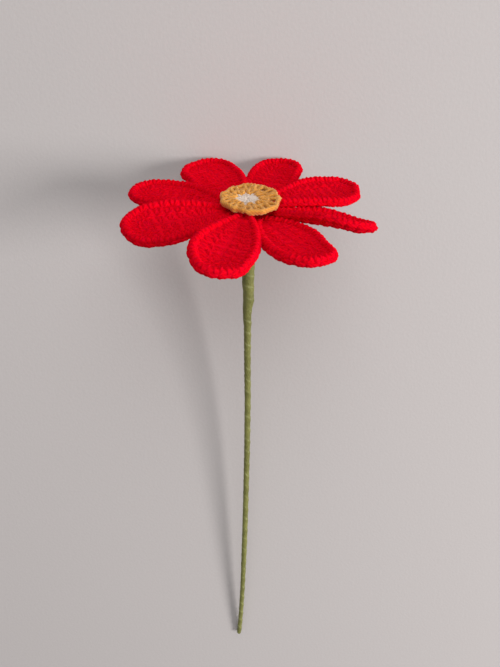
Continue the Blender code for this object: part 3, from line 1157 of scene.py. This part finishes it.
@dataclass
class AmberRing:
    """The amber ring: a plain round, then one whose stitches reach out unevenly, in mm."""

    level: float = 5.2
    hole: tuple[float, float] = (5.5, 4.6)
    hole_place: tuple[float, float] = (-1.2, 0.3)
    split: float = 0.42
    inner_count: int = 9
    reach: tuple[float, ...] = (
        13.0, 11.5, 12.9, 11.7, 12.6, 11.2, 12.6, 11.4, 12.7, 11.8, 13.5,
        12.0, 13.1, 11.5, 11.7, 10.7, 12.3, 11.4, 12.8, 12.1, 13.4, 12.0,
    )
    outer_count: int = 11
    flatten: float = 0.62
    wobble: float = 0.14
    yarn: Yarn = Yarn(radius=1.02, step=0.5, turn=6.0, plies=4, ply_depth=0.2, uneven=0.1)

    def point(self, turn: float, share: float, beyond: float, front: float) -> Vector:
        """World point at a share of a turn and of the way from the hole to the outer edge."""
        angle = math.tau * turn
        outward = Vector((math.cos(angle), math.sin(angle), 0))
        count = len(self.reach)
        around = [*self.reach, self.reach[0]]
        edge = float(np.interp(turn * count % count, range(count + 1), around))
        hole = Vector(
            (
                self.hole_place[0] + outward.x * self.hole[0],
                self.hole_place[1] + outward.y * self.hole[1],
                0,
            )
        )
        spot = hole.lerp(outward * (edge - self.yarn.radius), share) + outward * beyond * 0.8
        dish = 0.5 * share * share
        return HEAD.to_world(spot + Vector((0, 0, self.level + dish + front * self.flatten)))

    def rounds(self) -> Iterator[Round]:
        """The two rounds."""
        limits = ((self.inner_count, 0.0, self.split), (self.outer_count, self.split, 1.0))
        for count, low, high in limits:

            def place(
                along: float,
                share: float,
                beyond: float,
                front: float,
                count: int = count,
                low: float = low,
                high: float = high,
            ) -> Vector:
                return self.point((along - 0.5) / count, low + (high - low) * share, beyond, front)

            yield Round(count, place, lambda i: Stitch.SINGLE, self.wobble)

    def build(self, sweep: YarnSweep, finish: bpy.types.Material) -> bpy.types.Object:
        """Builds the ring from its yarn."""
        random = np.random.default_rng(SEED + 20)
        paths = [one.path(random) for one in self.rounds()]
        mesh = sweep.mesh("amber_yarn", paths, self.yarn, finish)
        return piece("crocheted_amber_ring", mesh, "amber_yarn", "amber_ring")


@dataclass
class WhiteCentre:
    """The white middle, a few stitches worked into a closed ring, in mm."""

    place: tuple[float, float] = (-1.2, 0.3)
    level: float = 4.9
    start: float = 0.7
    reach: tuple[float, float] = (5.3, 4.3)
    count: int = 7
    flatten: float = 0.4
    yarn: Yarn = Yarn(radius=0.9, step=0.5, turn=6.0, plies=4, ply_depth=0.1, uneven=0.06)

    def point(self, along: float, share: float, beyond: float, front: float) -> Vector:
        """World point of the round's place."""
        angle = math.tau * along / self.count
        out = max(share + beyond / self.reach[0], 0.05)
        x = self.place[0] + (self.start + (self.reach[0] - self.start) * out) * math.cos(angle)
        y = self.place[1] + (self.start + (self.reach[1] - self.start) * out) * math.sin(angle)
        return HEAD.to_world(Vector((x, y, self.level + front * self.flatten)))

    def build(self, sweep: YarnSweep, finish: bpy.types.Material) -> bpy.types.Object:
        """Builds the centre from its yarn."""
        random = np.random.default_rng(SEED + 30)
        path = Round(self.count, self.point, lambda i: Stitch.SINGLE).path(random)
        mesh = sweep.mesh("white_yarn", [path], self.yarn, finish)
        return piece("crocheted_white_centre", mesh, "white_yarn", "white_centre")


# Calyx and stem


@dataclass(frozen=True)
class StemLine:
    """The stem's middle line, by depth down from the flower's origin, in mm."""

    straight: float = 16.0
    top_pull: float = 70.0
    foot_pull: float = 90.0
    foot: tuple[float, float, float] = (-7.9, -287.0, -44.66)
    sway: tuple[float, float] = (-4.0, 0.6)
    bow: float = 0.4

    @property
    def length(self) -> float:
        """Depth of the foot."""
        top = HEAD.turned(Vector((0, 0, -self.straight)))
        return self.straight + (Vector(self.foot) - top).length

    def point(self, depth: float) -> Vector:
        """A point of the line, in mm in the world's directions from the flower's origin."""
        down = HEAD.turned(Vector((0, 0, -1)))
        if depth <= self.straight:
            return down * depth
        top = down * self.straight
        foot = Vector(self.foot)
        first = top + down * self.top_pull
        first.x = self.sway[0]
        second = foot - (foot - top).normalized() * self.foot_pull
        second.x = self.sway[1]
        t = min((depth - self.straight) / (foot - top).length, 1.0)
        bend = first * (3 * t * (1 - t) ** 2) + second * (3 * t * t * (1 - t))
        point = top * (1 - t) ** 3 + bend + foot * t**3
        point.x += self.bow * math.sin(math.tau * t) * (1 - t)
        return point

    def around(self, depth: float, angle: float, radius: float) -> Vector:
        """World point beside the line; angle 0 is to its right, a quarter turn its underside."""
        along = (self.point(depth + 0.5) - self.point(depth - 0.5)).normalized()
        right = (Vector((1, 0, 0)) - along * along.x).normalized()
        under = right.cross(along)
        beside = (right * math.cos(angle) + under * math.sin(angle)) * radius
        return (self.point(depth) + beside + HEAD.origin) * MM


STEM = StemLine()


@dataclass
class StemTape:
    """Floral tape wound round the stem in overlapping turns, in mm."""

    start: float = 13.5
    radii: tuple[tuple[float, float], ...] = (
        (13.5, 2.6),
        (50.0, 2.65),
        (56.0, 2.6),
        (61.0, 2.3),
        (66.0, 2.2),
        (73.0, 1.92),
        (92.0, 1.86),
        (117.0, 1.8),
        (218.0, 1.72),
        (238.0, 1.6),
        (292.0, 1.53),
    )
    drift: tuple[tuple[float, float], ...] = (
        (28.0, 0.0),
        (38.0, -0.1),
        (46.0, -0.1),
        (54.0, -0.2),
        (62.0, -0.6),
        (70.0, -0.3),
        (92.0, -0.1),
        (117.0, 0.3),
        (149.0, 0.25),
        (182.0, -0.1),
        (228.0, -0.4),
        (259.0, -0.25),
        (292.0, 0.1),
    )
    lap: float = 0.24
    pitch: float = 7.5
    crinkle: float = 0.09
    step: float = 0.5
    sides: int = 32
    bulges: tuple[tuple[float, float, float, float], ...] = (
        (40.0, 3.3, 0.85, 6.0),
        (54.0, 6.0, 0.40, 4.5),
        (48.0, 4.6, 0.25, 4.0),
    )

    def radius(self, depth: float, angle: float) -> float:
        """Outer radius without the laps."""
        radius = float(np.interp(depth, *zip(*self.radii)))
        for where, side, size, length in self.bulges:
            facing = 0.5 + 0.5 * math.cos(angle - side)
            radius += size * facing**2 * math.exp(-(((depth - where) / length) ** 2))
        return radius

    def build(self, finish: bpy.types.Material) -> bpy.types.Object:
        """Builds the wound tape as one closed skin.

        Args:
            finish: The tape's material.

        Returns:
            The finished piece.
        """
        random = np.random.default_rng(SEED + 40)
        turns = 60
        uneven = random.normal(0, 0.08, (2, turns))
        mesh = bmesh.new()
        lap_mark = mesh.verts.layers.float.new("lap")
        rings = []
        count = round((STEM.length - self.start) / self.step)
        for i in range(count + 1):
            depth = self.start + (STEM.length - self.start) * i / count
            drift = Vector((float(np.interp(depth, *zip(*self.drift))) * MM, 0, 0))
            ring = []
            for side in range(self.sides):
                angle = math.tau * side / self.sides
                wound = depth / self.pitch - side / self.sides
                turn = int(wound)
                sway = uneven[0, turn % turns] * math.sin(angle + uneven[1, turn % turns] * 20)
                phase = (wound + sway * 0.6) % 1
                rise = min(phase / 0.05, 1.0) * (1 - phase)
                crease = math.sin(angle * 5 - depth * 1.3) * math.sin(angle * 3 - depth * 0.47)
                radius = self.radius(depth, angle) + self.lap * (rise - 1) + self.crinkle * crease
                vert = mesh.verts.new(STEM.around(depth, angle, radius) + drift)
                vert[lap_mark] = min(phase / 0.05, 1.0) * max(1 - phase / 0.22, 0.0)
                ring.append(vert)
            rings.append(ring)
        for first, second in zip(rings, rings[1:]):
            join_rings(mesh, first, second)
        mesh.faces.new(rings[0])
        mesh.faces.new(rings[-1])
        bmesh.ops.recalc_face_normals(mesh, faces=mesh.faces)
        if mesh.calc_volume(signed=True) < 0:
            bmesh.ops.reverse_faces(mesh, faces=mesh.faces)
        for face in mesh.faces:
            face.smooth = len(face.verts) == 4
        made = bpy.data.meshes.new("wound_tape")
        mesh.to_mesh(made)
        mesh.free()
        made.materials.append(finish)
        return piece("wound_tape", made, "floral_tape", "stem_tape")


@dataclass
class Binding:
    """Thread wound round the wires under the flower, in mm."""

    start: float = 8.0
    end: float = 48.0
    radius: float = 1.98
    pitch: float = 0.5
    points_a_turn: int = 12
    yarn: Yarn = Yarn(radius=0.17, step=0.5, turn=1.6, plies=3, ply_depth=0.15, uneven=0.0)

    def build(self, sweep: YarnSweep, finish: bpy.types.Material) -> bpy.types.Object:
        """Builds the winding."""
        count = round((self.end - self.start) / self.pitch) * self.points_a_turn
        path = []
        for i in range(count + 1):
            depth = self.start + (self.end - self.start) * i / count
            path.append(STEM.around(depth, math.tau * i / self.points_a_turn, self.radius))
        mesh = sweep.mesh("thread_path", [path], self.yarn, finish)
        return piece("wound_thread", mesh, "red_thread", "binding_thread")


@dataclass
class Calyx:
    """The crocheted cup under the petals and its pointed sepals, in mm."""

    sepals: int = 5
    first: float = 39.0
    reach: float = 24.0
    notch: float = 9.5
    half_width: float = 5.6
    profile: tuple[tuple[float, float], ...] = (
        (3.3, -14.6),
        (4.6, -11.6),
        (7.4, -9.4),
        (10.6, -8.2),
        (13.6, -7.6),
    )
    counts: tuple[int, ...] = (8, 12, 18, 26)
    pitch: float = 3.1
    yarn: Yarn = Yarn(radius=0.72, step=0.5, turn=5.0, plies=4, ply_depth=0.16, uneven=0.05)

    def cup_point(
        self, number: int, turn: float, share: float, beyond: float, front: float
    ) -> Vector:
        """World point of the cup on one round of its profile."""
        (low_out, low_up), (high_out, high_up) = self.profile[number : number + 2]
        slope = Vector((high_out - low_out, high_up - low_up))
        size = slope.length
        slope /= size
        along = share * size + beyond * 0.7
        out = low_out + slope.x * along + slope.y * front * 0.7
        up = low_up + slope.y * along - slope.x * front * 0.7
        angle = math.tau * turn
        return HEAD.to_world(Vector((out * math.cos(angle), out * math.sin(angle), up)))

    def sepal_point(self, number: int, x: float, y: float, front: float) -> Vector:
        """World point of a sepal: x from its root to its tip, y across it."""
        angle = math.radians(self.first + 360 / self.sepals * number)
        outward = Vector((math.cos(angle), math.sin(angle), 0))
        across = Vector((-math.sin(angle), math.cos(angle), 0))
        level = -8.0 + 0.06 * x - front
        return HEAD.to_world(outward * (self.notch + x) + across * y + Vector((0, 0, level)))

    def sepal_paths(self, number: int, random: np.random.Generator) -> Iterator[Path]:
        """A sepal's middle chain and the round of stitches about it."""
        length = self.reach - self.notch - self.yarn.radius
        spine = length * 0.86
        shares = np.linspace(0, 1, 40)
        widths = self.half_width * (1 - shares**1.4) * (0.8 + 0.2 * np.sin(shares * math.pi))
        side = np.column_stack([shares * length, widths])
        edge = np.concatenate([side, side[-2::-1] * (1, -1)])
        centre = np.column_stack([np.clip(edge[:, 0], 0, spine), np.zeros(len(edge))])
        steps = np.concatenate([[0.0], np.cumsum(np.hypot(*np.diff(edge, axis=0).T))])
        count = round(steps[-1] / self.pitch)

        def place(along: float, share: float, beyond: float, front: float) -> Vector:
            where = min(max(along / count, 0.0), 1.0) * steps[-1]
            outer = np.array([np.interp(where, steps, edge[:, i]) for i in range(2)])
            inner = np.array([np.interp(where, steps, centre[:, i]) for i in range(2)])
            full = max(float(np.hypot(*(outer - inner))), 0.01)
            x, y = inner + (outer - inner) * (0.14 + 0.86 * share + beyond * 0.6 / max(full, 2.0))
            return self.sepal_point(number, x, y, front * 0.7)

        yield Round(count, place, lambda i: Stitch.SINGLE).path(random)
        links = round(spine / self.pitch)
        chain = []
        for i in range(links):
            for along, across, front in CHAIN_LINK:
                x = (i + along) * spine / links
                chain.append(self.sepal_point(number, x, across * 0.7, front * 0.7))
        yield chain

    def build(self, sweep: YarnSweep, finish: bpy.types.Material) -> bpy.types.Object:
        """Builds the calyx from its yarn."""
        random = np.random.default_rng(SEED + 50)
        paths = []
        for number, count in enumerate(self.counts):

            def place(
                along: float,
                share: float,
                beyond: float,
                front: float,
                number: int = number,
                count: int = count,
            ) -> Vector:
                return self.cup_point(number, along / count, share, beyond, front)

            paths.append(Round(count, place, lambda i: Stitch.SINGLE).path(random))
        for number in range(self.sepals):
            paths += self.sepal_paths(number, random)
        mesh = sweep.mesh("green_yarn", paths, self.yarn, finish)
        return piece("crocheted_calyx", mesh, "green_yarn", "calyx")


# Studio


@dataclass(frozen=True)
class Softbox:
    """One area light: where it is, what it looks at, its size and power."""

    name: str
    place: tuple[float, float, float]
    aim: tuple[float, float, float]
    size: float
    power: float
    colour: tuple[float, float, float] = (1.0, 1.0, 1.0)

    def build(self) -> None:
        """Adds the light."""
        light = bpy.data.lights.new(self.name, "AREA")
        light.shape = "DISK"
        light.size = self.size
        light.energy = self.power
        light.color = self.colour
        obj = bpy.data.objects.new(self.name, light)
        towards = Vector(self.aim) - Vector(self.place)
        obj.location = self.place
        obj.rotation_euler = towards.to_track_quat("-Z", "Y").to_euler()
        bpy.context.scene.collection.objects.link(obj)


@dataclass
class Studio:
    """The floor, the soft light and the camera at the photograph's angle."""

    floor_half: float = 3.0
    lights: tuple[Softbox, ...] = (
        Softbox("key", (1.4, -0.05, 0.95), (0.0, 0.1, 0.03), 0.6, 26.0, (1.0, 0.98, 0.96)),
        Softbox("top", (0.3, 1.7, 1.3), (0.0, 0.1, 0.03), 2.4, 24.0),
    )
    sky: tuple[float, float, float] = (1.0, 0.99, 0.98)
    sky_strength: float = 0.36
    focal_px: float = 500.0
    image_px: tuple[int, int] = (500, 667)
    camera_place: tuple[float, float, float] = (0.000625, 0.148637, 0.266955)
    camera_pitch: float = 18.0

    def floor(self) -> None:
        """Adds the ground that the flower lies on."""
        half = self.floor_half
        mesh = bpy.data.meshes.new("floor")
        corners = [(-half, -half, 0), (half, -half, 0), (half, half, 0), (-half, half, 0)]
        mesh.from_pydata(corners, [], [(0, 1, 2, 3)])
        mesh.materials.append(FloorFinish().material())
        obj = bpy.data.objects.new("floor", mesh)
        bpy.context.scene.collection.objects.link(obj)

    def camera(self) -> None:
        """Adds the camera, fitted to the photograph's outlines."""
        data = bpy.data.cameras.new("camera")
        data.sensor_width = 36.0
        data.lens = data.sensor_width * self.focal_px / max(self.image_px)
        data.clip_start = 0.01
        obj = bpy.data.objects.new("camera", data)
        obj.rotation_euler = (math.radians(-self.camera_pitch), 0, 0)
        obj.location = self.camera_place
        bpy.context.scene.collection.objects.link(obj)
        bpy.context.scene.camera = obj

    def build(self) -> None:
        """Builds the floor, lights, sky and camera."""
        scene = bpy.context.scene
        scene.view_settings.view_transform = "Standard"
        world = bpy.data.worlds.new("studio")
        world.use_nodes = True
        sky = world.node_tree.nodes["Background"]
        sky.inputs["Color"].default_value = opaque(self.sky)
        sky.inputs["Strength"].default_value = self.sky_strength
        scene.world = world
        self.floor()
        for light in self.lights:
            light.build()
        self.camera()
        log.info("studio: %d lights", len(self.lights))


RED_YARN = YarnFinish(
    "red_yarn",
    light=(0.95, 0.0006, 0.015),
    dark=(0.78, 0.0004, 0.010),
    bloom=(1.0, 0.005, 0.03),
    bloom_weight=0.45,
    gloss=0.015,
    softness=0.3,
)
AMBER_YARN = YarnFinish(
    "amber_yarn",
    light=(0.98, 0.50, 0.11),
    dark=(0.72, 0.24, 0.025),
    bloom=(1.0, 0.85, 0.6),
    bloom_weight=0.6,
)
WHITE_YARN = YarnFinish(
    "white_yarn", light=(0.98, 0.82, 0.72), dark=(0.86, 0.68, 0.56), bloom=(1.0, 0.98, 0.95)
)
GREEN_YARN = YarnFinish(
    "green_yarn", light=(0.17, 0.21, 0.055), dark=(0.09, 0.12, 0.025), bloom=(0.5, 0.6, 0.3)
)


def dress_wires(finish: bpy.types.Material) -> None:
    """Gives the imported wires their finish."""
    for name in ("stem_wire", *(f"petal_wire_{number}" for number in PETALS)):
        wire = bpy.data.objects[name]
        for slot in wire.material_slots:
            slot.material = finish
        log.info("%s: dressed", name)


def main() -> None:
    """Builds the flower and the studio."""
    logging.basicConfig(level=logging.INFO, format="%(name)s: %(message)s")
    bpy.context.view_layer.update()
    Studio().build()
    sweep = YarnSweep()
    red = RED_YARN.material()
    for number, shape in PETALS.items():
        Petal(number, shape).build(sweep, red)
    AmberRing().build(sweep, AMBER_YARN.material())
    WhiteCentre().build(sweep, WHITE_YARN.material())
    Calyx().build(sweep, GREEN_YARN.material())
    Binding().build(sweep, red)
    StemTape().build(TapeFinish().material())
    dress_wires(SteelFinish().material())


if __name__ == "__main__":
    main()
